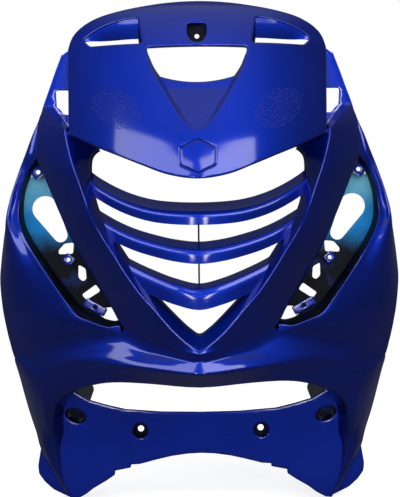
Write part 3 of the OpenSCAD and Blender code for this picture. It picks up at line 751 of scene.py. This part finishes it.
parts = [panel(
    "apron", [apron, ring(67.5, 0, 8), ring(-67.5, 0, 8), hollow(1), hollow(-1)],
    lambda x, z: 0.05 + 0 * x, 1.3, apron_back, gap=3.0, thick=1.4)]
for s in (1, -1):
    parts.append(panel(
        "boss_floor", [ring(67.5 * s, 0, 8.4), ring(67.5 * s, 0, 3.6, 28)], lambda x, z: 17.0 + 0 * x, 0.4,
        lambda x, y, z: (x, y + 1.5, z), gap=1.5, thick=1.0, mat=DARK))
    t = np.linspace(0, 2 * math.pi, 41)
    turned = ((11, 2), (11, 19.6), (10.6, 20), (4, 20), (3.6, 19.4), (3.6, 17))
    shell = [np.stack([67.5 * s + r * np.cos(t), np.full(41, yy), r * np.sin(t)], 1) for r, yy in turned]
    parts.append(skin("boss", shell, facing=None, thick=0))
    c = np.array([139.5 * s, 17.5])
    # A dark disc behind each hollow is painted shade, where the tube's bore would show through.
    parts.append(panel(
        "hollow_shade_disc", [(hollow(s) - c) * 1.25 + c + [0, 2]], lambda x, z: 10.5 + 0 * x, 0.4,
        lambda x, y, z: (x, y + 1.5, z), gap=2.5, thick=1.0, mat=DARK))
    c, d, ux, uy = tube_frame(s)
    prof = [(6.75, 9), (6.75, 61), (7.1, 61.6), (9.2, 61.6), (9.5, 61), (9.5, 2)]
    tube = []
    for r, hh in prof:
        rowp = []
        for t in np.linspace(0, 2 * math.pi, 33):
            p = c + r * (math.cos(t) * ux + math.sin(t) * uy) + d * hh
            if hh < 3:
                p = p - d * (p[1] - 2.2) / d[1]
            rowp.append(p)
        tube.append(rowp)
    parts.append(skin("tube", tube, facing=None, thick=0, mat=BARE))
    foot = np.array([
        [150, -18], [182, -22], [185.5, -43], [184.5, -52], [178, -61], [168, -70], [149, -79.2], [143, -72]])
    parts.append(panel(
        "foot", [soften(foot * [s, 1], 2)], lambda x, z: 28 + 0 * x, 0.6, lambda x, y, z: (x, y + 1.8, z),
        gap=4, thick=1.0))
lower_panel = join("lower_panel", parts)


# Pockets.
# The recessed back walls of the side pockets, moulded with a keyhole window, four smaller windows and three lugs.
PLATE = [
    [170, 284], [188.5, 282.5], [192.8, 272], [196.8, 256], [198, 236], [191, 214], [175, 189], [145, 147],
    [131, 131], [116, 120], [92, 108], [74, 103], [68, 112], [99, 159], [121, 195], [133, 217], [145, 243], [163, 283]]
WINDOWS = [
    [[158.8, 197.5], [158.8, 202], [152, 209.5], [141.5, 210.5], [142.5, 198]],
    [[136.5, 185.5], [128.5, 181], [127.5, 169], [132, 166.5], [136.8, 171]],
    [[133, 151.5], [128, 145.5], [112, 155.5], [117, 163]],
    [[116.5, 131], [108, 136.5], [97, 137], [86, 119], [92, 118], [106, 123.5]]]


def keyhole():
    a, b, r, r2 = np.array([173.5, 249.0]), np.array([156.5, 219.0]), 14.5, 8.0
    d = b - a
    l = np.linalg.norm(d)
    base = math.atan2(d[1], d[0])
    w = math.acos((r - r2) / l)
    t1 = np.linspace(base + w, base + 2 * math.pi - w, 30)
    t2 = np.linspace(base - w, base + w, 16)
    return np.vstack([
        np.stack([a[0] + r * np.cos(t1), a[1] + r * np.sin(t1)], 1),
        np.stack([b[0] + r2 * np.cos(t2), b[1] + r2 * np.sin(t2)], 1)])


def box(c, size, turn, mat, r=0.6):
    x, y, z = np.array(size) / 2
    v = np.array([[sx * x, sy * y, sz * z] for sx in (-1, 1) for sy in (-1, 1) for sz in (-1, 1)])
    t = math.radians(turn)
    m = np.array([[math.cos(t), 0, math.sin(t)], [0, 1, 0], [-math.sin(t), 0, math.cos(t)]])
    v = v @ m.T + c
    f = [(0, 1, 3, 2), (4, 6, 7, 5), (0, 4, 5, 1), (2, 3, 7, 6), (0, 2, 6, 4), (1, 5, 7, 3)]
    return solid("rib", v, f, None, 0, mat, bevel=r)


LUGS = (
    ((178.6, 1.6, 289.4), 15, 13, 40, 5), ((116.5, 0.6, 138), 27, 10, -28, 4), ((145.6, 0.6, 191.5), 12, 11, -40, 4.6))
parts = []
for s in (1, -1):
    wide = np.array(PLATE) * [s, 1]
    loops = [soften(wide + outward(wide) * 3.5, 3), resample(keyhole() * [s, 1], 1.5, True)]
    loops += [soften(np.array(w) * [s, 1], 2) for w in WINDOWS]
    loops += [ring(147.3 * s, 191.3, 3.4, 20)]
    # The back walls take the pocket coat, with its partly painted light from behind.
    parts.append(panel(
        "pocket", loops, lambda x, z: 19 + 0 * x, 0.8, lambda x, y, z: (x, y + 1.2, z), gap=3.0, thick=1.0, mat=MIST_AND_BACKLIGHT))
    for (x, y, z), w, h, turn, bore in LUGS:
        t = math.radians(turn * s)
        turned = np.array([[math.cos(t), -math.sin(t)], [math.sin(t), math.cos(t)]])
        plain = np.array([[-w / 2, -h / 2], [w / 2, -h / 2], [w / 2, h / 2], [-w / 2, h / 2]])
        outline = soften(plain, 2) @ turned + [x * s, z]
        parts.append(panel(
            "lug", [outline, ring(x * s, z, bore / 2, 20)], lambda x, z, front=y: front + 0 * x, 0.5,
            lambda x, y, z: (x, y + 1.4, z), gap=2, thick=1.0, mat=BLUE))
pockets = join("pockets", parts)


# Grille.
# Three louvres across the opening, each a top face with a drooping front face, on an upright rib.
LX = [0, 24, 45, 65, 84, 103, 113]
LY = [-125, -123, -117.5, -110, -101, -89, -80]
LUP = [
    [249.5, 250.3, 252.9, 258.4, 266.5, 277.5, 285], [209.6, 212.2, 217.2, 223.5, 232, 243, 250],
    [167.1, 172.5, 180.5, 189.5, 200, 212, 219]]
parts = []
for k, (n, face, drop) in enumerate(((6, 12.5, 11), (5, 14, 8.5), (4, 20, 6))):
    up = np.array([[LX[i], LY[i] + 2, LUP[k][i]] for i in range(n + 1)])
    cols = [[0, 8, 0], [0, -12.5, -drop + 1], [0, -15.5, -drop - face * 0.3], [0, -15, -drop - face]]
    cols = [up + c for c in cols]
    cols = [spline(whole(c[::-1]), 8) for c in cols]
    parts.append(skin("louvre", rounded(cols, [2.0, 12]), facing=(0, -1, 0.3), thick=2.6))
parts.append(box((0, -117, 206), (1.8, 6, 82), 0, DARK, 0.4))
grille = join("grille", parts)


# Stage.
# A plain pale floor under soft studio light, a white surround, and the camera at the photograph's angle.
white, seed, place = material("studio_white")
rays = [seed.make("ShaderNodeLightPath", {}, {}, k) for k in (0, 3, 6)]
shown = (rays[0] + rays[1] * 0.06 + rays[2]).math("MINIMUM", 1.0)
pale_floor = seed.make("ShaderNodeBsdfDiffuse", {}, {"Color": (0.9, 0.9, 0.9, 1.0)})
dim_floor = seed.make("ShaderNodeBsdfDiffuse", {}, {"Color": (0.07, 0.07, 0.08, 1.0)})
lit = seed.make("ShaderNodeMixShader", {}, {0: rays[1], 1: pale_floor, 2: dim_floor})
glow = seed.make("ShaderNodeEmission", {}, {"Color": (1.0, 1.0, 1.0, 1.0), "Strength": 0.72})
both = seed.make("ShaderNodeAddShader", {}, {0: lit, 1: glow})
mixed = seed.make("ShaderNodeMixShader", {}, {0: shown, 1: lit, 2: both})
seed.make("ShaderNodeOutputMaterial", {}, {"Surface": mixed})
FLOOR_Z = -0.081
me = bpy.data.meshes.new("backdrop")
me.from_pydata([(x, y, FLOOR_Z) for y in (-0.34, 0.9) for x in (-0.9, 0.9)], [], [(0, 1, 3, 2)])
me.materials.append(white)
backdrop = bpy.data.objects.new("backdrop", me)
bpy.context.scene.collection.objects.link(backdrop)


def area(name, at, to, size, power, mirrored=True):
    d = bpy.data.lights.new(name, "AREA")
    d.shape = "RECTANGLE"
    d.size, d.size_y = size
    d.energy = power
    ob = bpy.data.objects.new(name, d)
    ob.visible_glossy = mirrored
    ob.location = at
    ob.rotation_euler = (Vector(to) - Vector(at)).to_track_quat("-Z", "Y").to_euler()
    bpy.context.scene.collection.objects.link(ob)


area("front_left", (-1.09, -1.45, 1.51), (0, -0.15, 0.28), (2.1, 0.75), 20)
area("front_right", (0.80, -1.65, 1.51), (0, -0.15, 0.28), (1.5, 0.75), 20)
for side_x in (-0.22, 0.22):
    area("strip", (side_x, -2.2, 0.45), (0, -0.15, 0.15), (0.1, 0.9), 5)
area("fill_front", (0, -2.6, 0.35), (0, -0.1, 0.2), (2.0, 1.0), 28, False)

world = bpy.data.worlds.new("studio")
bpy.context.scene.world = world
world.use_nodes = True
world.node_tree.nodes.clear()
seed = Val(world.node_tree, None)
seen = seed.make("ShaderNodeLightPath", {}, {}, 0)
sky = seed.make("ShaderNodeSeparateXYZ", {}, {0: seed.make("ShaderNodeTexCoord", {}, {}, 0)}, 2)
level = sky.step(0.72, 1.0) * 0.5 + 0.08
dim = seed.make("ShaderNodeBackground", {}, {"Color": (0.9, 0.93, 1.0, 1.0), "Strength": level})
plain = seed.make("ShaderNodeBackground", {}, {"Color": (1, 1, 1, 1.0), "Strength": 1.0})
mixed = seed.make("ShaderNodeMixShader", {}, {0: seen, 1: dim, 2: plain})
seed.make("ShaderNodeOutputWorld", {}, {"Surface": mixed})

cam = bpy.data.cameras.new("camera")
cam.lens = 85.85
cam.sensor_width = 36
cam.shift_x = -0.002
cam.shift_y = -0.001
eye = bpy.data.objects.new("camera", cam)
eye.location = (0.0022, -1.340, 0.203)
eye.rotation_euler = (math.radians(90), math.radians(0.56), 0)
bpy.context.scene.collection.objects.link(eye)
bpy.context.scene.camera = eye
bpy.context.scene.view_settings.view_transform = "Standard"
